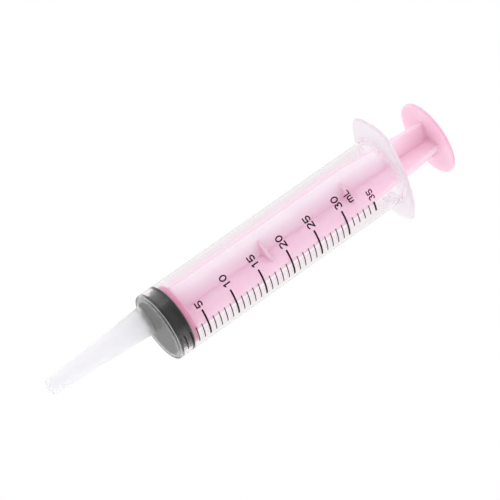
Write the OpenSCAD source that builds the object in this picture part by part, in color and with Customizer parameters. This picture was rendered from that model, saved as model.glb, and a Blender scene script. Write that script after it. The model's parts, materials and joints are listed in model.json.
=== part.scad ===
// Catheter-tip oral syringe, 30 mL with an overfill mark at 35 mL.
// Millimetres. The barrel axis is X, with +X towards the nozzle's end. The origin is on that
// axis at the 0 mL plane, the inner face of the barrel's front wall. The scale faces +Z, the
// nozzle is offset towards -Z, and the finger flange's wings point to +Y and -Y.

/* [Barrel] */
// Outer diameter of the barrel
barrel_od = 25.2; // [24.4:0.1:27]
// Bore diameter of the barrel
bore_d = 23.1; // [22.8:0.1:23.4]
// Thickness of the wall that closes the barrel's front
front_wall = 1.05; // [0.8:0.05:1.2]
// Distance from the 0 mL plane to the rear face of the finger flange
barrel_length = 97.9; // [96:0.1:110]
// Radius of the rounded front edge
front_edge_r = 1.0; // [0.4:0.1:1]
// Height of the retaining bead just inside the mouth
bead_height = 0.2; // [0.1:0.05:0.3]

/* [Finger flange] */
// Radius of the flange's two wings
flange_r = 20.3; // [19:0.1:22]
// Distance from the barrel axis to the middle of each long side
flange_side = 14.2; // [14:0.1:15]
// Radius of the long sides, which bulge slightly
flange_side_r = 35; // [30:1:60]
// Radius of the four corners
flange_corner_r = 3; // [1:0.5:4]
// Thickness of the flange
flange_t = 1.5; // [1.2:0.1:2]

/* [Nozzle] */
// Distance from the barrel axis to the nozzle axis
nozzle_offset = 6.9; // [5:0.1:7]
// Distance from the 0 mL plane to the nozzle's end
nozzle_reach = 41.5; // [35:0.5:50]
// Outer radius at the barrel's front face
nozzle_base_r = 5.25; // [5:0.05:5.3]
// Outer radius at the end
nozzle_end_r = 2.8; // [2.6:0.1:3.2]
// Radius of the straight outlet
outlet_r = 1.6; // [1.2:0.1:1.8]
// Length of the straight outlet
outlet_length = 7; // [5:0.5:10]
// Radius of the passage where it leaves the barrel
passage_base_r = 4.1; // [3:0.1:4.2]

/* [Plunger rod] */
// Radius of the ribs inside the barrel
rib_r = 11.1; // [10.5:0.1:11.2]
// Radius of the ribs where they meet the thumb disc
rib_end_r = 7.5; // [6:0.1:9]
// Distance from the 0 mL plane to where the ribs start to taper
rib_taper_start = 83; // [70:1:95]
// Thickness of the ribs
rib_t = 1.7; // [1.2:0.1:2]
// Reach of the corner webs along the ribs, from the barrel axis
web_reach = 8; // [5:0.1:10]
// Radius of the thumb disc
thumb_disc_r = 13.8; // [12:0.1:15]
// Thickness of the thumb disc
thumb_disc_t = 1.4; // [1.2:0.1:2]
// Distance from the flange's rear face to the thumb disc with the plunger fully in
thumb_gap = 18.3; // [16:0.1:25]

/* [Gasket] */
// Radial gap between the seal rings and the bore
seal_gap = 0.03; // [0.02:0.01:0.06]
// Overall length of the gasket
gasket_length = 5.8; // [5.7:0.1:7]
// Depth of the groove between the two seal rings
groove_depth = 0.9; // [0.5:0.1:1.2]

/* [Scale] */
// Length of scale for one millilitre
mm_per_ml = 2.386; // [2.3:0.002:2.45]
// Last graduation in millilitres
last_ml = 35; // [35:1:36]
// Height of the numerals along the barrel
numeral_h = 2.8; // [2:0.1:3.2]
// Thickness of the printed ink
ink_t = 0.03; // [0.02:0.01:0.05]

/* [Hidden] */

round_fn = 96;
overcut = 1;

barrel_r = barrel_od / 2;
bore_r = bore_d / 2;
flange_front_x = flange_t - barrel_length;
flange_fillet_r = 0.8;
bead_length = 1.0;
bead_inset = 2;
bead_x = bead_inset - barrel_length;
mouth_chamfer = 0.5;
nozzle_lip_r = 0.5;

// Centre of a flange corner: it touches the wing's circle and the long side's circle inside.
side_centre = flange_side_r - flange_side;
corner_reach = flange_r - flange_corner_r;
corner_z = (pow(flange_side_r - flange_corner_r, 2) - pow(corner_reach, 2) - pow(side_centre, 2))
    / (2 * side_centre);
corner_y = sqrt(pow(corner_reach, 2) - pow(corner_z, 2));
// Angles from +Z at which the corner meets the wing and the long side
wing_angle = atan2(corner_y, corner_z);
side_angle = atan2(corner_y, corner_z + side_centre);

thumb_disc_x = -(barrel_length + thumb_gap);
thumb_edge_r = 0.45;
play = 0.1;
head_disc_t = 2;
head_disc_x = -(gasket_length + play);
head_clearance = 0.25;
head_disc_r = bore_r - bead_height - head_clearance;
web_t = 1;
// Distances from the 0 mL plane to the middle of each corner web
web_at = [43.6, 79.2];

ring_r = bore_r - seal_gap;
front_land = 0.4;
ring_land = 0.8;
ring_slope = 0.5;
pocket_front = -1.7;
pocket_rear = -4.7;
pocket_r = 5;
neck_r = 3.5;

// Angles of the print, from +Z towards -Y
major_from = -25;
major_to = 24.8;
minor_to = 6;
short_from = -12.5;
major_w = 0.67;
minor_w = 0.36;
numeral_from = 28.7;
digit_step = 11.5;
digit_w = 0.8;
pen_w = 0.178;
small_scale = 0.84;
short_numeral_from = 9.8;
unit_ml = 31.95;
unit_h = 2.5;
unit_from = 27;
unit_step = 12.6;
m_width = 0.98;
l_width = 0.68;

// Shapes of the glyphs, on a height of one unit. Bowl heights are those of the bowls' centres.
oval_sides = 24;
one_shift = 0.1;
one_flag = [0.28, 0.16];
two_bowl = 0.7;
two_end_angle = -30;
three_top_bowl = 0.74;
three_low_bowl = 0.31;
three_top_share = 0.9;
five_bowl = 0.32;
five_start_angle = 125;
five_stem_foot = 0.42;
five_lean = 0.06;
bowl_open_angle = 160;
m_shoulder = 0.52;
m_arch = 0.17;

function arc(centre, r, from, to, steps = 8) = [
    for (i = [0:steps]) let (a = from + (to - from) * i / steps)
        centre + r * [cos(a), sin(a)]
];

// Points on an ellipse, for the numerals
function bow(centre, radii, from, to, steps = 14) = [
    for (i = [0:steps]) let (a = from + (to - from) * i / steps)
        centre + [radii.x * cos(a), radii.y * sin(a)]
];

// Points along a circle in the flange's plane, by angle from +Z towards +Y
function rim(centre_y, centre_z, r, from, to, steps) = [
    for (i = [0:steps]) let (a = from + (to - from) * i / steps)
        [centre_y + r * sin(a), centre_z + r * cos(a)]
];

// Turns a profile of [radius, x] points about the X axis, or about a line beside it
module lathe(profile, axis_z = 0)
    translate([0, 0, axis_z]) rotate([0, 90, 0])
        rotate_extrude($fn = round_fn) polygon(profile);

module disc(x_front, thickness, r)
    translate([x_front - thickness, 0, 0]) rotate([0, 90, 0])
        cylinder(r = r, h = thickness, $fn = round_fn);

// ---------------------------------------------------------------- barrel

function quarter_outline() = concat(
    rim(0, -side_centre, flange_side_r, 0, side_angle, 8),
    rim(corner_y, corner_z, flange_corner_r, side_angle, wing_angle, 6),
    rim(0, 0, flange_r, wing_angle, 90, 8)
);

function turned(points, y_sign, z_sign) = [for (p = points) [p.x * y_sign, p.y * z_sign]];

function reversed(points) = [for (i = [len(points) - 1:-1:0]) points[i]];

// Outline in [y, z]: an oval of four equal quarters
function flange_outline() = concat(
    quarter_outline(),
    reversed(turned(quarter_outline(), 1, -1)),
    turned(quarter_outline(), -1, -1),
    reversed(turned(quarter_outline(), -1, 1))
);

// Stands an outline of [y, z] points up across the barrel axis
module across(x_rear, thickness)
    translate([x_rear, 0, 0]) rotate([90, 0, 90]) linear_extrude(height = thickness) children();

module flange() across(-barrel_length, flange_t) polygon(flange_outline());

function barrel_profile() = concat(
    [[0, front_wall]],
    arc([barrel_r - front_edge_r, front_wall - front_edge_r], front_edge_r, 90, 0),
    arc([barrel_r + flange_fillet_r, flange_front_x + flange_fillet_r], flange_fillet_r, 180, 270),
    [[barrel_r + flange_fillet_r, -barrel_length], [0, -barrel_length]]
);

function bore_profile() = [
    [0, 0],
    [bore_r, 0],
    [bore_r, bead_x + bead_length / 2],
    [bore_r - bead_height, bead_x + bead_length / 4],
    [bore_r - bead_height, bead_x - bead_length / 4],
    [bore_r, bead_x - bead_length / 2],
    [bore_r, -barrel_length + mouth_chamfer],
    [bore_r + mouth_chamfer, -barrel_length],
    [bore_r + mouth_chamfer, -barrel_length - overcut],
    [0, -barrel_length - overcut]
];

function nozzle_profile() = concat(
    [[0, front_wall / 2], [nozzle_base_r, front_wall / 2], [nozzle_base_r, front_wall]],
    arc([nozzle_end_r - nozzle_lip_r, nozzle_reach - nozzle_lip_r], nozzle_lip_r, 0, 90),
    [[0, nozzle_reach]]
);

function passage_profile() = [
    [0, -overcut],
    [passage_base_r, -overcut],
    [passage_base_r, front_wall],
    [outlet_r, nozzle_reach - outlet_length],
    [outlet_r, nozzle_reach + overcut],
    [0, nozzle_reach + overcut]
];

module barrel()
    color([0.93, 0.92, 0.95, 0.45])
    difference() {
        union() {
            lathe(barrel_profile());
            lathe(nozzle_profile(), -nozzle_offset);
            flange();
        }
        lathe(bore_profile());
        lathe(passage_profile(), -nozzle_offset);
    }

// ---------------------------------------------------------------- plunger

// One rib that runs right across the rod, in its own plane
module rib_pair()
    translate([0, rib_t / 2, 0]) rotate([90, 0, 0]) linear_extrude(height = rib_t)
        polygon([
            [head_disc_x - head_disc_t / 2, rib_r],
            [-rib_taper_start, rib_r],
            [thumb_disc_x - thumb_disc_t / 2, rib_end_r],
            [thumb_disc_x - thumb_disc_t / 2, -rib_end_r],
            [-rib_taper_start, -rib_r],
            [head_disc_x - head_disc_t / 2, -rib_r]
        ]);

// Thin webs that stiffen the four corners between the ribs
module corner_webs()
    for (x = web_at)
        translate([-x - web_t / 2, 0, 0]) rotate([0, 90, 0])
            cylinder(r = web_reach, h = web_t, $fn = 4);

function thumb_disc_profile() = concat(
    [[0, thumb_disc_x]],
    arc([thumb_disc_r - thumb_edge_r, thumb_disc_x - thumb_edge_r], thumb_edge_r, 90, 0, 4),
    arc([thumb_disc_r - thumb_edge_r, thumb_disc_x - thumb_disc_t + thumb_edge_r],
        thumb_edge_r, 0, -90, 4),
    [[0, thumb_disc_x - thumb_disc_t]]
);

// Head disc with the neck and button that snap into the gasket
module snap_head() {
    disc(head_disc_x, head_disc_t, head_disc_r);
    disc(pocket_rear + play, head_disc_t - head_disc_x + pocket_rear, neck_r - 2 * play);
    disc(pocket_front - play, pocket_front - pocket_rear - 2 * play, pocket_r - 2 * play);
}

module plunger_rod()
    color([0.96, 0.72, 0.84])
    union() {
        rib_pair();
        rotate([90, 0, 0]) rib_pair();
        corner_webs();
        lathe(thumb_disc_profile());
        snap_head();
    }

// ---------------------------------------------------------------- gasket

function gasket_profile() = [
    [0, -play / 2],
    [ring_r - ring_slope / 2, -play / 2],
    [ring_r, -ring_slope],
    [ring_r, -ring_slope - front_land],
    [ring_r - groove_depth, -2 * ring_slope - front_land],
    [ring_r - groove_depth, -gasket_length + 2 * ring_slope + ring_land],
    [ring_r, -gasket_length + ring_slope + ring_land],
    [ring_r, -gasket_length + ring_slope],
    [ring_r - ring_slope, -gasket_length],
    [0, -gasket_length]
];

module gasket()
    color([0.42, 0.44, 0.45])
    difference() {
        lathe(gasket_profile());
        disc(pocket_front, pocket_front - pocket_rear, pocket_r);
        disc(pocket_rear + play, gasket_length, neck_r);
    }

// ---------------------------------------------------------------- scale

// One graduation: an ink arc round the barrel, between two angles from +Z towards -Y
module graduation(ml, from, to, width)
    translate([-ml * mm_per_ml, 0, 0]) rotate([from, 0, 0]) rotate([0, 90, 0])
        rotate([0, 0, 180]) rotate_extrude(angle = to - from, $fn = round_fn)
            translate([barrel_r, -width / 2]) square([ink_t, width]);

module graduation_lines_major()
    color([0.14, 0.03, 0.08]) {
        for (ml = [5:5:30]) graduation(ml, major_from, major_to, major_w);
        graduation(last_ml, short_from, minor_to, major_w);
    }

module graduation_lines_minor()
    color([0.14, 0.03, 0.08])
        for (ml = [1:last_ml - 1])
            if (ml % 5 != 0) graduation(ml, ml < 30 ? major_from : short_from, minor_to, minor_w);

function along(points, i) = let (
    before = points[max(i - 1, 0)],
    after = points[min(i + 1, len(points) - 1)]
) (after - before) / norm(after - before);

// A pen stroke of even width along a row of points
module pen(points) {
    last = len(points) - 1;
    polygon(concat(
        [for (i = [0:last]) points[i] + pen_w / 2 * [-along(points, i).y, along(points, i).x]],
        [for (i = [last:-1:0]) points[i] - pen_w / 2 * [-along(points, i).y, along(points, i).x]]
    ));
}

// Glyphs are drawn one unit high, with the pen's centre line inset by half its width
low = pen_w / 2;
high = 1 - pen_w / 2;
left = pen_w / 2;
right = digit_w - pen_w / 2;
mid_x = digit_w / 2;
half_w = (right - left) / 2;

module glyph_0() difference() {
    last_angle = 360 - 360 / oval_sides;
    polygon(bow([mid_x, 0.5], [half_w + pen_w / 2, 0.5], 0, last_angle, oval_sides - 1));
    polygon(bow([mid_x, 0.5], [half_w - pen_w / 2, 0.5 - pen_w], 0, last_angle, oval_sides - 1));
}

module glyph_1() {
    stem = mid_x + one_shift;
    pen([[stem, 0], [stem, 1]]);
    pen([[stem, high], [stem - one_flag.x, high - one_flag.y]]);
}

module glyph_2() {
    pen(concat(
        bow([mid_x, two_bowl], [half_w, high - two_bowl], bowl_open_angle, two_end_angle),
        [[left, low]]
    ));
    pen([[left - pen_w / 2, low], [right + pen_w / 2, low]]);
}

module glyph_3() {
    top_radii = [half_w * three_top_share, high - three_top_bowl];
    low_radii = [half_w, three_low_bowl - low];
    pen(bow([mid_x, three_top_bowl], top_radii, bowl_open_angle, -90));
    pen(bow([mid_x, three_low_bowl], low_radii, 90, -bowl_open_angle));
}

module glyph_5() {
    pen([[left + five_lean, high], [right + low, high]]);
    pen([[left + five_lean, 1], [left, five_stem_foot]]);
    pen(concat(
        [[left, five_stem_foot + low]],
        bow([mid_x, five_bowl], [half_w, five_bowl - low], five_start_angle, -bowl_open_angle)
    ));
}

module glyph_m() {
    stem_step = (m_width - pen_w) / 2;
    for (i = [0:2]) pen([[left + i * stem_step, 0], [left + i * stem_step, m_shoulder + low]]);
    for (i = [0:1])
        pen(bow([left + (i + 0.5) * stem_step, m_shoulder], [stem_step / 2, m_arch], 180, 0));
}

module glyph_l() {
    pen([[left, 0], [left, 1]]);
    pen([[left, low], [l_width, low]]);
}

module glyph(which) {
    if (which == 0) glyph_0();
    if (which == 1) glyph_1();
    if (which == 2) glyph_2();
    if (which == 3) glyph_3();
    if (which == 5) glyph_5();
    if (which == "m") glyph_m();
    if (which == "l") glyph_l();
}

// Wraps a glyph of a given width onto the barrel. It starts at an angle from +Z towards -Y,
// reads towards -Y, and has its top towards the nozzle.
module on_barrel(x, from, width, height) {
    half_angle = width * height / 2 / barrel_r * 180 / PI;
    intersection() {
        rotate([from + half_angle, 0, 0]) translate([x - height / 2, width * height / 2, 0])
            rotate([0, 0, -90]) linear_extrude(height = barrel_r + overcut)
                scale(height) children();
        difference() {
            translate([x - height, 0, 0]) rotate([0, 90, 0])
                cylinder(r = barrel_r + ink_t, h = 2 * height, $fn = round_fn);
            translate([x - height - overcut, 0, 0]) rotate([0, 90, 0])
                cylinder(r = barrel_r, h = 2 * (height + overcut), $fn = round_fn);
        }
    }
}

module numeral(ml, from, height)
    for (i = [0:len(digits(ml)) - 1])
        on_barrel(-ml * mm_per_ml, from + i * digit_step * height / numeral_h, digit_w, height)
            glyph(digits(ml)[i]);

function digits(ml) = ml < 10 ? [ml] : [floor(ml / 10), ml % 10];

module graduation_numerals()
    color([0.14, 0.03, 0.08]) {
        for (ml = [5:5:30]) numeral(ml, numeral_from, numeral_h);
        numeral(last_ml, short_numeral_from, numeral_h * small_scale);
    }

module unit_mark()
    color([0.14, 0.03, 0.08]) {
        on_barrel(-unit_ml * mm_per_ml, unit_from, m_width, unit_h) glyph("m");
        on_barrel(-unit_ml * mm_per_ml, unit_from + unit_step, l_width, unit_h) glyph("l");
    }

barrel();
plunger_rod();
gasket();
graduation_lines_major();
graduation_lines_minor();
graduation_numerals();
unit_mark();
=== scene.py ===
"""Studio view of a catheter-tip oral syringe: clear barrel, grey gasket and pink plunger rod."""
import json
import math

import bmesh
import bpy
from mathutils import Matrix, Vector


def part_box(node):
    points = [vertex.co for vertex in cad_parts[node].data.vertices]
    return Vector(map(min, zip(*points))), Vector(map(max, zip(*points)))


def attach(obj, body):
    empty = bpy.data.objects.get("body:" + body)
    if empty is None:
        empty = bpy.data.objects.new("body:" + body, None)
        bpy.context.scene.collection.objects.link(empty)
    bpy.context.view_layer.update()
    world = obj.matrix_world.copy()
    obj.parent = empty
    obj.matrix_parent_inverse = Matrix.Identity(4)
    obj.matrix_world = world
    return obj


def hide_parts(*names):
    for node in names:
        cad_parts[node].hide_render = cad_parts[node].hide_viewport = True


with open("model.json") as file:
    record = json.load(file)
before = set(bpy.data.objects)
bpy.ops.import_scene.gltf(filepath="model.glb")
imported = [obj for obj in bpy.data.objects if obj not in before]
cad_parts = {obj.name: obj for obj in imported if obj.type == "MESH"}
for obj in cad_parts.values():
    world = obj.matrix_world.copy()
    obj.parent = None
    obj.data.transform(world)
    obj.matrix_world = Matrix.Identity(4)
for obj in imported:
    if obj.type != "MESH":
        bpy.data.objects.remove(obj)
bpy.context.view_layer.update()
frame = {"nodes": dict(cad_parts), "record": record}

MM = 0.001
ROUND = 240  # points in one ring of the barrel or the gasket
mounts = {m["name"]: m for m in frame["record"]["mounts"]}


def mount_x(name):
    return mounts[name]["pos_m"][0]


def mount_r(name):
    return mounts[name]["dims"]["r_mm"] * MM


# ------------------------------------------------------------------ sizes, in metres
barrel_low, barrel_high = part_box("barrel")
rod_low, rod_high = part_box("plunger_rod")
gasket_low, gasket_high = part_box("gasket")

# The barrel is drawn this far inside its mount's radius, where the print's underside has its corners.
INK_CLEARANCE = 0.005 * MM
BARREL_R = mount_r("barrel_body") - INK_CLEARANCE
BORE_R = 11.55 * MM
FRONT_X = 1.05 * MM
FRONT_EDGE_R = 1.0 * MM
BORE_CORNER_R = 0.25 * MM
BEAD_X = -95.9 * MM
BEAD_LENGTH = 1.2 * MM
BEAD_HEIGHT = 0.2 * MM
BEAD_STEPS = 12
MOUTH_ROUND = 0.5 * MM

FLANGE_FRONT = mount_x("flange_front")
FLANGE_REAR = mount_x("flange_rear")
FLANGE_WING_R = barrel_high.y
FLANGE_SIDE = barrel_high.z
FLANGE_SIDE_R = 35 * MM
FLANGE_CORNER_R = 3 * MM
FLANGE_EDGE_R = 0.45 * MM
FLANGE_FILLET_R = 0.8 * MM

NOZZLE_END = mount_x("nozzle_taper")
NOZZLE_Z = mounts["nozzle_taper"]["pos_m"][2]
NOZZLE_BASE_R = 5.25 * MM
NOZZLE_END_R = mount_r("nozzle_taper")
NOZZLE_LIP_R = 0.5 * MM
NOZZLE_FILLET_R = 0.5 * MM
OUTLET_R = mount_r("nozzle_outlet")
OUTLET_LENGTH = mounts["nozzle_outlet"]["dims"]["length_mm"] * MM
OUTLET_EDGE_R = 0.15 * MM
PASSAGE_BASE_R = 4.1 * MM
PASSAGE_EDGE_R = 0.15 * MM

THUMB_REAR = rod_low.x
THUMB_R = rod_high.y
THUMB_T = 1.4 * MM
THUMB_EDGE_R = 0.45 * MM
RIB_R = 11.1 * MM
RIB_END_R = 7.5 * MM
RIB_TAPER_START = -83 * MM
RIB_HALF_T = 0.85 * MM
RIB_TIP_ROUND = 0.3 * MM
RIB_ROOT_ROUND = 0.5 * MM
RIB_END_FILLET_R = 0.5 * MM
HEAD_FRONT = -5.9 * MM
HEAD_REAR = -7.9 * MM
HEAD_EDGE_R = 0.25 * MM
NECK_R = 3.3 * MM
BUTTON_R = 4.8 * MM
BUTTON_EDGE_R = 0.4 * MM
BUTTON_FRONT = rod_high.x
BUTTON_REAR = -4.6 * MM
WEB_REACH = 8.0 * MM
WEB_T = 1.0 * MM
WEB_EDGE_R = 0.2 * MM
WEB_X = (-43.6 * MM, -79.2 * MM)

GASKET_FRONT = gasket_high.x
GASKET_REAR = gasket_low.x
GASKET_PRESS = 0.02 * MM
RING_R = BORE_R + GASKET_PRESS
GROOVE_R = 10.62 * MM
GASKET_EDGE_R = 0.5 * MM
GROOVE_EDGE_R = 0.3 * MM
# Along X, the centres of the rounds at the groove's edges, from the front ring to the rear one.
FRONT_RING_EDGE, GROOVE_FRONT = -0.75 * MM, -1.5 * MM
GROOVE_REAR, REAR_RING_EDGE = -3.75 * MM, -4.5 * MM
POCKET_FRONT, POCKET_REAR = -1.7 * MM, -4.7 * MM
POCKET_R = 5.0 * MM
NECK_HOLE_R = 3.5 * MM
NECK_HOLE_BEVEL = 0.05 * MM

# How finely rounded edges and flat faces are divided between rings.
EDGE_STEPS = 6
FILLET_STEPS = 5
FLAT_SHARES = (0.02, 0.2, 0.4, 0.6, 0.8, 0.98)


# ------------------------------------------------------------------ mesh helpers
def circle_point(angle, radius, x, z_centre=0.0):
    """A point at an angle from +Z towards +Y on a circle that stands across the X axis."""
    return Vector((x, radius * math.sin(angle), z_centre + radius * math.cos(angle)))


def ring(radius, x, z_centre=0.0, count=ROUND):
    return [circle_point(2 * math.pi * i / count, radius, x, z_centre) for i in range(count)]


def mixed(ring_a, ring_b, t):
    return [a.lerp(b, t) for a, b in zip(ring_a, ring_b)]


def quarter(centre, radius, start_deg, end_deg, steps=6):
    """Points (radius, x) on a rounded edge. Angle 0 points away from the axis, 90 to +X."""
    points = []
    for i in range(steps + 1):
        a = math.radians(start_deg + (end_deg - start_deg) * i / steps)
        points.append((centre[0] + radius * math.cos(a), centre[1] + radius * math.sin(a)))
    return points


def skin(name, rings, looped=False, shade=None):
    """A smooth mesh through rings of equal length. The ends close on a point unless looped.
    shade gives each point a depth of colour from its place, from 0 to 1."""
    count = len(rings[0])
    verts = [p for r in rings for p in r]
    faces = []
    spans = len(rings) if looped else len(rings) - 1
    for k in range(spans):
        a = k * count
        b = ((k + 1) % len(rings)) * count
        for i in range(count):
            j = (i + 1) % count
            faces.append((a + i, a + j, b + j, b + i))
    if not looped:
        for ring_start, flip in ((0, True), ((len(rings) - 1) * count, False)):
            middle = sum((verts[ring_start + i] for i in range(count)), Vector()) / count
            verts.append(middle)
            tip = len(verts) - 1
            for i in range(count):
                j = (i + 1) % count
                a, b = ring_start + i, ring_start + j
                faces.append((tip, b, a) if flip else (tip, a, b))
    mesh = bpy.data.meshes.new(name)
    mesh.from_pydata(verts, [], faces)
    shape = bmesh.new()
    shape.from_mesh(mesh)
    bmesh.ops.recalc_face_normals(shape, faces=shape.faces)
    shape.to_mesh(mesh)
    shape.free()
    mesh.shade_smooth()
    if shade is not None:
        values = mesh.attributes.new("depth", "FLOAT", "POINT")
        values.data.foreach_set("value", [shade(v.co) for v in mesh.vertices])
    piece = bpy.data.objects.new(name, mesh)
    bpy.context.scene.collection.objects.link(piece)
    return piece


def spread(start, end, steps, margin=0.04 * MM):
    """Values from start to end with one more close to each end, which keeps flats flat."""
    step = math.copysign(margin, end - start)
    inner = [start + step + (end - start - 2 * step) * i / steps for i in range(steps + 1)]
    return [start] + inner + [end]


# ------------------------------------------------------------------ barrel
def flange_radius(angle):
    """Distance from the axis to the flange's outline, at an angle from +Z towards +Y."""
    side_centre = FLANGE_SIDE_R - FLANGE_SIDE
    reach = FLANGE_WING_R - FLANGE_CORNER_R
    inner = FLANGE_SIDE_R - FLANGE_CORNER_R
    corner_z = (inner ** 2 - reach ** 2 - side_centre ** 2) / (2 * side_centre)
    corner_y = math.sqrt(reach ** 2 - corner_z ** 2)
    y, z = abs(math.sin(angle)), abs(math.cos(angle))
    if math.atan2(y, z) > math.atan2(corner_y, corner_z):
        return FLANGE_WING_R
    tangent = math.atan2(corner_y, corner_z + side_centre)
    touch_y = FLANGE_SIDE_R * math.sin(tangent)
    touch_z = FLANGE_SIDE_R * math.cos(tangent) - side_centre
    if math.atan2(y, z) < math.atan2(touch_y, touch_z):
        centre, radius = (0.0, -side_centre), FLANGE_SIDE_R
    else:
        centre, radius = (corner_y, corner_z), FLANGE_CORNER_R
    along = y * centre[0] + z * centre[1]
    across2 = centre[0] ** 2 + centre[1] ** 2 - along ** 2
    return along + math.sqrt(radius ** 2 - across2)


def outline_ring(inset, x):
    points = []
    for i in range(ROUND):
        a = 2 * math.pi * i / ROUND
        points.append(circle_point(a, flange_radius(a) - inset, x))
    return points


def front_surface_x(radius):
    """X of the barrel's front at a distance from its axis, with the rounded edge."""
    over = radius - (BARREL_R - FRONT_EDGE_R)
    if over <= 0:
        return FRONT_X
    over = min(over, FRONT_EDGE_R)
    return FRONT_X - FRONT_EDGE_R + math.sqrt(FRONT_EDGE_R ** 2 - over ** 2)


def front_rings():
    """Rings over the front: down its rounded edge, then across to the foot of the nozzle."""
    foot_r = NOZZLE_BASE_R + NOZZLE_FILLET_R
    edge_steps, face_steps, halvings = 10, 12, 30
    most_turn = 0.55
    rows = [[] for _ in range(edge_steps + face_steps + 1)]
    for i in range(ROUND):
        a = 2 * math.pi * i / ROUND
        outer = circle_point(a, BARREL_R, 0)
        foot = circle_point(a, foot_r, 0, NOZZLE_Z)
        low, high = 0.0, 1.0
        for _ in range(halvings):
            middle = (low + high) / 2
            near = outer.lerp(foot, middle)
            if math.hypot(near.y, near.z) > BARREL_R - FRONT_EDGE_R:
                low = middle
            else:
                high = middle
        turn = min(low, most_turn)
        shares = []
        for k in range(edge_steps):
            shares.append(turn * (1 - math.cos(math.pi / 2 * k / edge_steps)))
        for k in range(face_steps + 1):
            shares.append(turn + (1 - turn) * k / face_steps)
        for row, share in zip(rows, shares):
            p = outer.lerp(foot, share)
            p.x = front_surface_x(math.hypot(p.y, p.z))
            row.append(p)
    return rows


def nozzle_radius(x):
    share = (x - FRONT_X) / (NOZZLE_END - NOZZLE_LIP_R - FRONT_X)
    return NOZZLE_BASE_R + (NOZZLE_END_R - NOZZLE_BASE_R) * share


def barrel_rings():
    rings = []
    for x in spread(NOZZLE_END - OUTLET_LENGTH, FRONT_X, 10):
        share = (x - FRONT_X) / (NOZZLE_END - OUTLET_LENGTH - FRONT_X)
        rings.append(ring(PASSAGE_BASE_R + (OUTLET_R - PASSAGE_BASE_R) * share, x, NOZZLE_Z))
    rings.append(ring(PASSAGE_BASE_R, PASSAGE_EDGE_R + 0.05 * MM, NOZZLE_Z))
    inlet_centre = (PASSAGE_BASE_R + PASSAGE_EDGE_R, PASSAGE_EDGE_R)
    inlet = quarter(inlet_centre, PASSAGE_EDGE_R, 180, 270, 4)
    rings += [ring(r, x, NOZZLE_Z) for r, x in inlet]
    inner = ring(PASSAGE_BASE_R + PASSAGE_EDGE_R + 0.01 * MM, 0, NOZZLE_Z)
    outer = ring(BORE_R - BORE_CORNER_R, 0)
    wall_steps = 8
    rings += [mixed(inner, outer, k / wall_steps) for k in range(wall_steps + 1)]
    corner = quarter((BORE_R - BORE_CORNER_R, -BORE_CORNER_R), BORE_CORNER_R, 90, 0, 4)
    rings += [ring(r, x) for r, x in corner[1:]]
    bead_start = BEAD_X + BEAD_LENGTH / 2
    rings += [ring(BORE_R, x) for x in spread(-BORE_CORNER_R, bead_start, 40)[1:]]
    for k in range(1, BEAD_STEPS + 1):
        bump = BEAD_HEIGHT * (0.5 - 0.5 * math.cos(2 * math.pi * k / BEAD_STEPS))
        rings.append(ring(BORE_R - bump, bead_start - BEAD_LENGTH * k / BEAD_STEPS))
    rounded = quarter((BORE_R + MOUTH_ROUND, FLANGE_REAR + MOUTH_ROUND), MOUTH_ROUND, 180, 270)
    rings += [ring(r, x) for r, x in rounded]

    mouth_edge = ring(BORE_R + MOUTH_ROUND, FLANGE_REAR)
    rim = outline_ring(FLANGE_EDGE_R, FLANGE_REAR)
    rings += [mixed(mouth_edge, rim, t) for t in (*FLAT_SHARES, 1.0)]
    rear_centre, front_centre = FLANGE_REAR + FLANGE_EDGE_R, FLANGE_FRONT - FLANGE_EDGE_R
    for k in range(1, EDGE_STEPS + 1):
        a = math.pi / 2 * k / EDGE_STEPS
        inset = FLANGE_EDGE_R * (1 - math.sin(a))
        rings.append(outline_ring(inset, rear_centre - FLANGE_EDGE_R * math.cos(a)))
    for k in range(EDGE_STEPS + 1):
        a = math.pi / 2 * k / EDGE_STEPS
        inset = FLANGE_EDGE_R * (1 - math.cos(a))
        rings.append(outline_ring(inset, front_centre + FLANGE_EDGE_R * math.sin(a)))
    rim = outline_ring(FLANGE_EDGE_R, FLANGE_FRONT)
    fillet_edge = ring(BARREL_R + FLANGE_FILLET_R, FLANGE_FRONT)
    rings += [mixed(rim, fillet_edge, t) for t in FLAT_SHARES]
    fillet_centre = (BARREL_R + FLANGE_FILLET_R, FLANGE_FRONT + FLANGE_FILLET_R)
    rings += [ring(r, x) for r, x in quarter(fillet_centre, FLANGE_FILLET_R, 270, 180)]
    tube = spread(FLANGE_FRONT + FLANGE_FILLET_R, FRONT_X - FRONT_EDGE_R, 40)
    rings += [ring(BARREL_R, x) for x in tube[1:-1]]

    rings += front_rings()
    foot_r = NOZZLE_BASE_R + NOZZLE_FILLET_R
    for k in range(1, FILLET_STEPS + 1):
        a = math.pi / 2 * k / FILLET_STEPS
        r = foot_r - NOZZLE_FILLET_R * math.sin(a)
        row = ring(r, 0, NOZZLE_Z)
        for p in row:
            p.x = front_surface_x(math.hypot(p.y, p.z)) + NOZZLE_FILLET_R * (1 - math.cos(a))
        rings.append(row)
    for x in spread(FRONT_X + NOZZLE_FILLET_R, NOZZLE_END - NOZZLE_LIP_R, 14)[1:]:
        rings.append(ring(nozzle_radius(x), x, NOZZLE_Z))
    lip_centre = (NOZZLE_END_R - NOZZLE_LIP_R, NOZZLE_END - NOZZLE_LIP_R)
    rings += [ring(r, x, NOZZLE_Z) for r, x in quarter(lip_centre, NOZZLE_LIP_R, 0, 90)[1:]]
    outlet_centre = (OUTLET_R + OUTLET_EDGE_R, NOZZLE_END - OUTLET_EDGE_R)
    inner_lip = quarter(outlet_centre, OUTLET_EDGE_R, 90, 180, 4)
    rings += [ring(r, x, NOZZLE_Z) for r, x in inner_lip]
    for x in spread(NOZZLE_END - OUTLET_EDGE_R, NOZZLE_END - OUTLET_LENGTH, 3)[1:-1]:
        rings.append(ring(OUTLET_R, x, NOZZLE_Z))
    return rings


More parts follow.
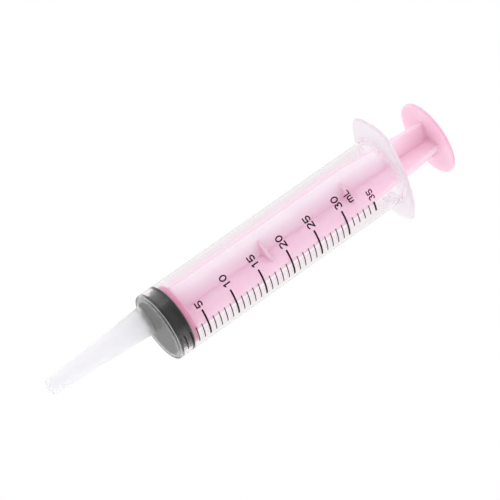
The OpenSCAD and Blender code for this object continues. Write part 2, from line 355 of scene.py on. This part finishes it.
# ------------------------------------------------------------------ plunger rod
SIDE_POINTS, TIP_POINTS, ROOT_POINTS = 18, 5, 4
# Depths of the rod's pink, from 0 for pale to 1 for full, chosen to agree with the photo.
# They hold painted light and shade: inside the barrel the ribs are paler than the even depth
# outside, with pale tips on the ribs along Y as a painted highlight and deeper tips on those
# along Z as painted shade; the head is deepest, for its thick disc and as painted shade behind
# the gasket, and the thumb disc's rim is deeper as painted shade.
ROOT_DEPTH, LIT_SIDE_TIP_DEPTH, SHADED_TOP_TIP_DEPTH = 0.24, 0.0, 0.36
EDGE_DEPTH, WEB_DEPTH, HEAD_DEPTH_AND_SHADE = 0.36, 0.46, 0.8
OUTSIDE_DEPTH, THUMB_DEPTH, SHADED_THUMB_RIM_DEPTH = 0.32, 0.36, 0.5
OUTSIDE_FADE = 10 * MM
NEAR = 0.1 * MM


def rib_octant(tip_r, half_t):
    """One eighth of the ribs' outline: half a tip, one side and half a root corner."""
    tip_round, root_round = RIB_TIP_ROUND, RIB_ROOT_ROUND
    points = [(0.0, tip_r), ((half_t - tip_round) * 0.5, tip_r)]
    for k in range(TIP_POINTS):
        a = math.pi / 2 * k / (TIP_POINTS - 1)
        points.append((
            half_t - tip_round + tip_round * math.sin(a),
            tip_r - tip_round + tip_round * math.cos(a),
        ))
    top, bottom = tip_r - tip_round, half_t + root_round
    for k in range(1, SIDE_POINTS):
        points.append((half_t, top + (bottom - top) * k / SIDE_POINTS))
    for k in range(ROOT_POINTS):
        a = math.pi / 4 * k / (ROOT_POINTS - 1)
        points.append((
            half_t + root_round * (1 - math.cos(a)),
            half_t + root_round * (1 - math.sin(a)),
        ))
    return points


def eight_fold(octant):
    """The whole outline from one eighth, as (y, z) pairs running from +Z towards +Y."""
    quarter_turn = octant + [(z, y) for y, z in octant[-2:0:-1]]
    points = []
    for turn in range(4):
        c, s = round(math.cos(turn * math.pi / 2)), round(math.sin(turn * math.pi / 2))
        points += [(y * c + z * s, -y * s + z * c) for y, z in quarter_turn]
    return points


def rib_ring(tip_r, x, grow=0.0):
    outline = eight_fold(rib_octant(tip_r, RIB_HALF_T + grow))
    return [Vector((x, y, z)) for y, z in outline]


def web_ring(x, reach):
    """A rib ring whose corners are filled in as far as a straight web from rib to rib."""
    points = []
    for p in rib_ring(rib_tip(x), x):
        short = (reach - abs(p.y) - abs(p.z)) / 2
        if short > 0:
            y = math.copysign(abs(p.y) + short, p.y)
            z = math.copysign(abs(p.z) + short, p.z)
            p = Vector((x, y, z))
        points.append(p)
    return points


def web_rings(x_middle):
    """Up the front of a pair of corner webs, over their rounded edges and down the back."""
    front, rear = x_middle + WEB_T / 2, x_middle - WEB_T / 2
    flat = WEB_REACH - WEB_EDGE_R
    shares = (0.35, 0.37, 0.5, 0.65, 0.8, 0.98)
    profile = [(flat * t, front) for t in shares]
    profile += quarter((flat, front - WEB_EDGE_R), WEB_EDGE_R, 90, 0, 4)
    profile += quarter((flat, rear + WEB_EDGE_R), WEB_EDGE_R, 0, -90, 4)
    profile += [(flat * t, rear) for t in reversed(shares)]
    return [web_ring(x, reach) for reach, x in profile]


def rod_disc_ring(radius, x):
    """A circle with as many points as a rib ring."""
    count = len(rib_ring(RIB_R, x))
    return ring(radius, x, count=count)


def rib_tip(x):
    """Radius of the ribs, which narrow towards the thumb disc."""
    if x >= RIB_TAPER_START:
        return RIB_R
    share = (x - RIB_TAPER_START) / (THUMB_REAR + THUMB_T - RIB_TAPER_START)
    return RIB_R + (RIB_END_R - RIB_R) * share


def rod_rings():
    profile = [(BUTTON_R * t, BUTTON_FRONT) for t in (0.1, 0.4, 0.7)]
    button_r, edge = BUTTON_R - BUTTON_EDGE_R, BUTTON_EDGE_R
    profile += quarter((button_r, BUTTON_FRONT - edge), edge, 90, 0, 4)
    profile += quarter((button_r, BUTTON_REAR + edge), edge, 0, -90, 4)
    profile += [(NECK_R, BUTTON_REAR), (NECK_R, HEAD_FRONT)]
    profile += [(RIB_R * t, HEAD_FRONT) for t in (0.35, 0.6, 0.9)]
    profile += quarter((RIB_R - HEAD_EDGE_R, HEAD_FRONT - HEAD_EDGE_R), HEAD_EDGE_R, 90, 0, 4)
    profile += quarter((RIB_R - HEAD_EDGE_R, HEAD_REAR + HEAD_EDGE_R), HEAD_EDGE_R, 0, -90, 4)
    rings = [rod_disc_ring(r, x) for r, x in profile]

    fillet = RIB_END_FILLET_R
    head_face = rod_disc_ring(RIB_R - HEAD_EDGE_R, HEAD_REAR)
    start = rib_ring(RIB_R - HEAD_EDGE_R, HEAD_REAR, fillet)
    rings += [mixed(head_face, start, t) for t in (0.03, 0.25, 0.5, 0.75, 0.97)]
    for k in range(FILLET_STEPS + 1):
        a = math.pi / 2 * k / FILLET_STEPS
        x = HEAD_REAR - fillet * math.sin(a)
        edge_in = HEAD_EDGE_R * (1 - math.sin(a))
        rings.append(rib_ring(RIB_R - edge_in, x, fillet * (1 - math.sin(a))))
    start = HEAD_REAR - fillet
    for web_x in WEB_X:
        end = web_x + WEB_T / 2
        rings += [rib_ring(RIB_R, x) for x in spread(start, end, 8)[1:-1]]
        rings += web_rings(web_x)
        start = web_x - WEB_T / 2
    rings += [rib_ring(RIB_R, x) for x in spread(start, RIB_TAPER_START, 3)[1:-1]]
    thumb_front = THUMB_REAR + THUMB_T
    for x in spread(RIB_TAPER_START, thumb_front + fillet, 10):
        rings.append(rib_ring(rib_tip(x), x))
    for k in range(1, FILLET_STEPS + 1):
        a = math.pi / 2 * k / FILLET_STEPS
        x = thumb_front + fillet * (1 - math.sin(a))
        grow = fillet * (1 - math.cos(a))
        rings.append(rib_ring(rib_tip(x) + grow, x, grow))
    disc_face = rod_disc_ring(THUMB_R - THUMB_EDGE_R, thumb_front)
    rings += [mixed(rings[-1], disc_face, t) for t in (0.03, 0.2, 0.4, 0.6, 0.8, 0.97)]
    rim = quarter((THUMB_R - THUMB_EDGE_R, thumb_front - THUMB_EDGE_R), THUMB_EDGE_R, 90, 0)
    rim += quarter((THUMB_R - THUMB_EDGE_R, THUMB_REAR + THUMB_EDGE_R), THUMB_EDGE_R, 0, -90)
    rings += [rod_disc_ring(r, x) for r, x in rim]
    rings += [rod_disc_ring(THUMB_R * t, THUMB_REAR) for t in (0.95, 0.7, 0.4, 0.1)]
    return rings


def rod_depth_with_painted_light(p):
    """Depth of the pink, with painted light and shade: the ribs inside the barrel are paler than
    outside, going pale towards the tips of the ribs along Y as painted light through the thin rib
    and a little deeper at the tips of those along Z as painted shade; deepest in the head, for its
    thick disc and as painted shade behind the gasket; deeper on the thumb disc's rim as painted
    shade.
    """
    radius = math.hypot(p.y, p.z)
    far, near = max(abs(p.y), abs(p.z)), min(abs(p.y), abs(p.z))
    # The thumb disc: its rim is painted deeper, as shade.
    if p.x < THUMB_REAR + THUMB_T + NEAR:
        return SHADED_THUMB_RIM_DEPTH if radius > THUMB_R - THUMB_EDGE_R * 0.7 else THUMB_DEPTH
    # The head is deepest, for its thick disc and as painted shade behind the gasket.
    if p.x > HEAD_REAR - NEAR:
        return HEAD_DEPTH_AND_SHADE
    tip = rib_tip(p.x)
    if near > RIB_HALF_T * 1.3 and any(abs(p.x - x) < WEB_T for x in WEB_X):
        return WEB_DEPTH
    # Painted highlight and shade: pale tips on the ribs along Y, deeper tips on those along Z.
    tip_depth = SHADED_TOP_TIP_DEPTH if abs(p.z) > abs(p.y) else LIT_SIDE_TIP_DEPTH
    if far > tip - RIB_TIP_ROUND * 0.6 and near < RIB_HALF_T * 1.1:
        tip_depth = EDGE_DEPTH
    # Outside the barrel the painted light fades out to one even depth.
    outside = min(1.0, max(0.0, (FLANGE_REAR - p.x) / OUTSIDE_FADE))
    tip_depth += (OUTSIDE_DEPTH - tip_depth) * outside
    root_depth = ROOT_DEPTH + (OUTSIDE_DEPTH - ROOT_DEPTH) * outside
    return root_depth + (tip_depth - root_depth) * min(1.0, far / tip)


# ------------------------------------------------------------------ gasket
def gasket_rings():
    """Out over the front, back over both rings and the groove, then into the button's pocket."""
    land, soft = GASKET_EDGE_R, GROOVE_EDGE_R
    profile = [(GROOVE_R * t, GASKET_PRESS) for t in (0.05, 0.4, 0.8, 0.97)]
    profile += quarter((RING_R - land, GASKET_FRONT - land), land, 90, 0)
    profile += quarter((RING_R - soft, FRONT_RING_EDGE), soft, 0, -60, 4)
    profile += quarter((GROOVE_R + soft, GROOVE_FRONT), soft, 120, 180, 4)
    profile += quarter((GROOVE_R + soft, GROOVE_REAR), soft, 180, 240, 4)
    profile += quarter((RING_R - soft, REAR_RING_EDGE), soft, 60, 0, 4)
    profile += quarter((RING_R - land, GASKET_REAR + land), land, 0, -90)
    profile += [(RING_R * 0.8, GASKET_REAR), (NECK_HOLE_R + NECK_HOLE_BEVEL, GASKET_REAR)]
    profile += [(NECK_HOLE_R, GASKET_REAR + NECK_HOLE_BEVEL), (NECK_HOLE_R, POCKET_REAR)]
    profile += [(POCKET_R, POCKET_REAR), (POCKET_R, POCKET_FRONT), (POCKET_R * 0.1, POCKET_FRONT)]
    return [ring(r, x) for r, x in profile]


# ------------------------------------------------------------------ materials
# Along X: how cloudy the clear plastic is, how frosted and rough its surface, and its tint.
# The tube's tint is a little pink, to stand for light that the rod scatters.
FLANGE_END, TUBE_START = FLANGE_FRONT + 0.5 * MM, FLANGE_FRONT + 3 * MM
TUBE_END, FACE_START = 0.6 * MM, 1.1 * MM
FOOT_END, NOZZLE_START = 2.8 * MM, 3.6 * MM
CLOUDINESS = (
    (FLANGE_REAR, 0.4),
    (FLANGE_END, 0.4),
    (TUBE_START, 0.0),
    (TUBE_END, 0.0),
    (FACE_START, 0.04),
    (FOOT_END, 0.04),
    (NOZZLE_START, 0.3),
    (NOZZLE_END, 0.3),
)
FROST = (
    (FLANGE_REAR, 0.12),
    (FLANGE_END, 0.12),
    (TUBE_START, 0.0),
    (TUBE_END, 0.0),
    (FACE_START, 0.09),
    (FOOT_END, 0.05),
    (NOZZLE_START, 0.15),
    (NOZZLE_END, 0.15),
)
SURFACE_ROUGHNESS = (
    (FLANGE_REAR, 0.3),
    (FLANGE_END, 0.3),
    (TUBE_START, 0.03),
    (-0.3 * MM, 0.03),
    (0.4 * MM, 0.3),
    (FACE_START, 0.35),
    (NOZZLE_START, 0.32),
    (NOZZLE_END, 0.3),
)
# Along X: painted shade on the rod's colour, chosen to agree with the photo: darkest at the
# thumb disc's rear, darker on the thumb disc, on the part outside the barrel and in the head.
ROD_PAINTED_SHADE = (
    (THUMB_REAR, 0.68),
    (THUMB_REAR + THUMB_T, 0.84),
    (THUMB_REAR + THUMB_T + 2 * MM, 0.92),
    (FLANGE_REAR - 1 * MM, 0.92),
    (FLANGE_REAR + 3 * MM, 1.0),
    (HEAD_REAR - 1 * MM, 1.0),
    (HEAD_REAR, 0.8),
    (rod_high.x, 0.8),
)
# A shade of the flange's, nozzle's and front's own colour for the light they scatter.
VEIL_SHADE = 0.94
BUMP_DEPTH = 0.01 * MM
LAVENDER, PINKISH = (0.925, 0.915, 0.94), (0.94, 0.895, 0.915)
NEUTRAL, MILKY = (0.95, 0.965, 0.955), (0.92, 0.885, 0.925)
WALL_TINT = (
    (FLANGE_REAR, MILKY),
    (FLANGE_END, MILKY),
    (FLANGE_FRONT + 5 * MM, PINKISH),
    (0.2 * MM, PINKISH),
    (FACE_START, NEUTRAL),
    (FOOT_END, NEUTRAL),
    (NOZZLE_START, LAVENDER),
    (NOZZLE_END, LAVENDER),
)


class Nodes:
    """Short forms for building a material's nodes."""

    def __init__(self, tree):
        self.tree = tree

    def add(self, kind, values=None, **settings):
        node = self.tree.nodes.new(kind)
        for key, value in settings.items():
            setattr(node, key, value)
        for key, value in (values or {}).items():
            node.inputs[key].default_value = value
        return node

    def link(self, source, target):
        self.tree.links.new(source, target)


def new_material(name):
    material = bpy.data.materials.new(name)
    material.use_nodes = True
    material.node_tree.nodes.clear()
    n = Nodes(material.node_tree)
    out = n.add("ShaderNodeOutputMaterial")
    shader = n.add("ShaderNodeBsdfPrincipled")
    n.link(shader.outputs["BSDF"], out.inputs["Surface"])
    coord = n.add("ShaderNodeTexCoord")
    return material, n, shader, coord.outputs["Object"]


def mottled(n, coord, scale, dark, light):
    """A colour that drifts between two near shades, and the noise that it follows."""
    noise = n.add("ShaderNodeTexNoise", {"Scale": scale, "Detail": 4.0})
    ramp = n.add("ShaderNodeValToRGB")
    ramp.color_ramp.elements[0].position = 0.3
    ramp.color_ramp.elements[1].position = 0.7
    ramp.color_ramp.elements[0].color = (*dark, 1)
    ramp.color_ramp.elements[1].color = (*light, 1)
    n.link(coord, noise.inputs["Vector"])
    n.link(noise.outputs["Fac"], ramp.inputs["Fac"])
    return ramp.outputs["Color"], noise.outputs["Fac"]


def ranged(n, source, low, high):
    """A 0 to 1 value turned into low to high."""
    node = n.add("ShaderNodeMapRange", {"To Min": low, "To Max": high})
    n.link(source, node.inputs["Value"])
    return node.outputs["Result"]


def bumped(n, coord, scale, strength):
    """A normal for a fine, shallow grain."""
    noise = n.add("ShaderNodeTexNoise", {"Scale": scale, "Detail": 3.0})
    bump = n.add("ShaderNodeBump", {"Strength": strength, "Distance": BUMP_DEPTH})
    n.link(coord, noise.inputs["Vector"])
    n.link(noise.outputs["Fac"], bump.inputs["Height"])
    return bump.outputs["Normal"]


def along_x(n, coord, stops):
    """A value or colour that follows X: stops are (x in metres, value), in rising order."""
    parts = n.add("ShaderNodeSeparateXYZ")
    n.link(coord, parts.inputs[0])
    low, high = stops[0][0], stops[-1][0]
    share = n.add("ShaderNodeMapRange", {"From Min": low, "From Max": high})
    ramp = n.add("ShaderNodeValToRGB")
    elements = ramp.color_ramp.elements
    while len(elements) < len(stops):
        elements.new(0.5)
    for element, (x, value) in zip(elements, stops):
        element.position = (x - low) / (high - low)
        colour = value if isinstance(value, tuple) else (value, value, value)
        element.color = (*colour, 1)
    n.link(parts.outputs["X"], share.inputs["Value"])
    n.link(share.outputs["Result"], ramp.inputs["Fac"])
    return ramp.outputs["Color"]


def multiplied(n, first, second):
    """The product of two colours."""
    node = n.add("ShaderNodeMix", {"Factor": 1.0}, data_type="RGBA", blend_type="MULTIPLY")
    n.link(first, node.inputs["A"])
    n.link(second, node.inputs["B"])
    return node.outputs["Result"]


def blended(n, share, first, second):
    """A shader that turns from the first into the second as share goes from 0 to 1."""
    node = n.add("ShaderNodeMixShader")
    n.link(share, node.inputs[0])
    n.link(first.outputs[0], node.inputs[1])
    n.link(second.outputs[0], node.inputs[2])
    return node


def clear_plastic():
    """Clear, faintly milky plastic. Scattered light and shadow rays pass straight through it."""
    material, n, shader, coord = new_material("clear_polypropylene")
    drift, _ = mottled(n, coord, 90, (0.985, 0.985, 0.985), (1.0, 1.0, 1.0))
    colour = multiplied(n, drift, along_x(n, coord, WALL_TINT))
    n.link(colour, shader.inputs["Base Color"])
    shader.inputs["Transmission Weight"].default_value = 1.0
    n.link(along_x(n, coord, SURFACE_ROUGHNESS), shader.inputs["Roughness"])
    shader.inputs["IOR"].default_value = 1.49

    dulled = n.add("ShaderNodeMix", {"Factor": 1.0}, data_type="RGBA", blend_type="MULTIPLY")
    n.link(colour, dulled.inputs["A"])
    dulled.inputs["B"].default_value = (VEIL_SHADE, VEIL_SHADE, VEIL_SHADE, 1)
    veil = n.add("ShaderNodeBsdfTranslucent")
    frost = n.add("ShaderNodeBsdfDiffuse")
    n.link(dulled.outputs["Result"], veil.inputs["Color"])
    n.link(dulled.outputs["Result"], frost.inputs["Color"])
    cloudy = blended(n, along_x(n, coord, CLOUDINESS), shader, veil)
    milky = blended(n, along_x(n, coord, FROST), cloudy, frost)

    path = n.add("ShaderNodeLightPath")
    either = n.add("ShaderNodeMath", operation="MAXIMUM")
    n.link(path.outputs["Is Shadow Ray"], either.inputs[0])
    n.link(path.outputs["Is Diffuse Ray"], either.inputs[1])
    passing = n.add("ShaderNodeBsdfTransparent", {"Color": (1, 1, 1, 1)})
    seen = blended(n, either.outputs[0], milky, passing)
    out = next(x for x in n.tree.nodes if x.type == "OUTPUT_MATERIAL")
    n.link(seen.outputs["Shader"], out.inputs["Surface"])
    return material


def pink_plastic():
    """Translucent pink plastic. The mesh's depth value, which holds painted light and shade, takes
    its colour from pale to full, and a painted shade along X darkens it.
    """
    material, n, shader, coord = new_material("pink_polypropylene")
    pale, grain = mottled(n, coord, 120, (0.985, 0.875, 0.93), (0.995, 0.895, 0.945))
    full, _ = mottled(n, coord, 120, (0.86, 0.27, 0.47), (0.88, 0.3, 0.5))
    depth = n.add("ShaderNodeAttribute", attribute_name="depth")
    colour = n.add("ShaderNodeMix", data_type="RGBA")
    n.link(depth.outputs["Fac"], colour.inputs["Factor"])
    n.link(pale, colour.inputs["A"])
    n.link(full, colour.inputs["B"])
    # Painted shade along X: darker on the thumb disc, outside the barrel and in the head.
    shaded = multiplied(n, colour.outputs["Result"], along_x(n, coord, ROD_PAINTED_SHADE))
    n.link(shaded, shader.inputs["Base Color"])
    n.link(ranged(n, grain, 0.25, 0.35), shader.inputs["Roughness"])
    shader.inputs["IOR"].default_value = 1.49
    shader.inputs["Subsurface Weight"].default_value = 1.0
    shader.inputs["Subsurface Radius"].default_value = (1.0, 0.7, 0.85)
    shader.inputs["Subsurface Scale"].default_value = 3.0 * MM
    n.link(bumped(n, coord, 500, 0.1), shader.inputs["Normal"])
    return material


def grey_rubber():
    material, n, shader, coord = new_material("grey_rubber")
    colour, grain = mottled(n, coord, 400, (0.007, 0.0085, 0.008), (0.013, 0.015, 0.014))
    n.link(colour, shader.inputs["Base Color"])
    n.link(ranged(n, grain, 0.16, 0.26), shader.inputs["Roughness"])
    shader.inputs["IOR"].default_value = 1.5
    n.link(bumped(n, coord, 900, 0.25), shader.inputs["Normal"])
    return material


def printing_ink():
    material, n, shader, coord = new_material("printing_ink")
    colour, grain = mottled(n, coord, 1500, (0.012, 0.002, 0.005), (0.025, 0.005, 0.012))
    n.link(colour, shader.inputs["Base Color"])
    shader.inputs["Specular IOR Level"].default_value = 0.15
    n.link(ranged(n, grain, 0.45, 0.65), shader.inputs["Roughness"])
    return material


# ------------------------------------------------------------------ pieces
clear = clear_plastic()
pink = pink_plastic()
rubber = grey_rubber()
ink = printing_ink()

barrel = skin("barrel_clear", barrel_rings(), looped=True)
barrel.data.materials.append(clear)
rod = skin("plunger", rod_rings(), shade=rod_depth_with_painted_light)
rod.data.materials.append(pink)
gasket = skin("seal", gasket_rings())
gasket.data.materials.append(rubber)

for piece, body, node in (
    (barrel, "barrel", "barrel"),
    (rod, "plunger", "plunger_rod"),
    (gasket, "gasket", "gasket"),
):
    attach(piece, body)
    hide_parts(node)

node_materials = {"barrel": clear, "plunger_rod": pink, "gasket": rubber}
for name, node in frame["nodes"].items():
    node.data.materials.clear()
    node.data.materials.append(node_materials.get(name, ink))

# ------------------------------------------------------------------ floor, light and camera
FLOOR_Z = barrel_low.z
FLOOR_HALF = 1.5
LIGHT_BOOST = 1.2
# Stops (place, brightness) over the room, where place goes from 0 at the side to 1 behind the viewer.
# The second row is for rays that the object mirrors or refracts.
ROOM_LIGHT = ((0.45, 1.0), (0.85, 0.8))
ROOM_MIRRORED = ((0.3, 1.0), (0.7, 0.4))


def light_strength(n):
    """Full strength, but a little stronger for scattered rays, which light the object."""
    path = n.add("ShaderNodeLightPath")
    return ranged(n, path.outputs["Is Diffuse Ray"], 1.0, LIGHT_BOOST)


def white_floor():
    corners = ((-1, -1), (1, -1), (1, 1), (-1, 1))
    mesh = bpy.data.meshes.new("floor")
    points = [Vector((x * FLOOR_HALF, y * FLOOR_HALF, FLOOR_Z)) for x, y in corners]
    mesh.from_pydata(points, [], [(0, 1, 2, 3)])
    floor = bpy.data.objects.new("floor", mesh)
    bpy.context.scene.collection.objects.link(floor)
    material = bpy.data.materials.new("white_floor")
    material.use_nodes = True
    material.node_tree.nodes.clear()
    n = Nodes(material.node_tree)
    out = n.add("ShaderNodeOutputMaterial")
    glow = n.add("ShaderNodeEmission", {"Color": (1, 1, 1, 1)})
    n.link(light_strength(n), glow.inputs["Strength"])
    n.link(glow.outputs["Emission"], out.inputs["Surface"])
    material.cycles.emission_sampling = "NONE"
    mesh.materials.append(material)


def studio_world(view_from):
    """White all round but dimmer behind the viewer, and dimmest to mirrored or refracted rays."""
    world = bpy.data.worlds.new("studio")
    world.use_nodes = True
    world.node_tree.nodes.clear()
    n = Nodes(world.node_tree)
    out = n.add("ShaderNodeOutputWorld")
    background = n.add("ShaderNodeBackground")
    n.link(light_strength(n), background.inputs["Strength"])
    coord = n.add("ShaderNodeTexCoord")
    towards = n.add("ShaderNodeVectorMath", operation="DOT_PRODUCT")
    towards.inputs[1].default_value = view_from
    n.link(coord.outputs["Generated"], towards.inputs[0])
    seen = n.add("ShaderNodeMix", data_type="RGBA")
    n.link(n.add("ShaderNodeLightPath").outputs["Is Glossy Ray"], seen.inputs["Factor"])
    for socket, stops in (("A", ROOM_LIGHT), ("B", ROOM_MIRRORED)):
        ramp = n.add("ShaderNodeValToRGB")
        for element, (position, value) in zip(ramp.color_ramp.elements, stops):
            element.position = position
            element.color = (value, value, value, 1)
        n.link(towards.outputs["Value"], ramp.inputs["Fac"])
        n.link(ramp.outputs["Color"], seen.inputs[socket])
    n.link(seen.outputs["Result"], background.inputs["Color"])
    n.link(background.outputs["Background"], out.inputs["Surface"])
    world.cycles.sampling_method = "NONE"
    bpy.context.scene.world = world


VIEW_FROM = Vector((0.29418, -0.61377, 0.73263))
IMAGE_UP = Vector((-0.54941, -0.73584, -0.39584))
AIM = Vector((-0.03755, -0.01023, 0.00651))
DISTANCE = 0.97629
LENS_MM = 211.0


def add_camera():
    data = bpy.data.cameras.new("camera")
    data.lens = LENS_MM
    data.sensor_width = 36.0
    data.clip_start = 0.01
    data.clip_end = 20.0
    camera = bpy.data.objects.new("camera", data)
    back = VIEW_FROM.normalized()
    right = IMAGE_UP.cross(back).normalized()
    up = back.cross(right)
    turn = Matrix((right, up, back)).transposed().to_4x4()
    camera.matrix_world = Matrix.Translation(AIM + back * DISTANCE) @ turn
    bpy.context.scene.collection.objects.link(camera)
    bpy.context.scene.camera = camera


white_floor()
studio_world(VIEW_FROM)
add_camera()

scene = bpy.context.scene
scene.view_settings.view_transform = "Standard"
scene.cycles.max_bounces = 24
scene.cycles.transmission_bounces = 20
scene.cycles.transparent_max_bounces = 16
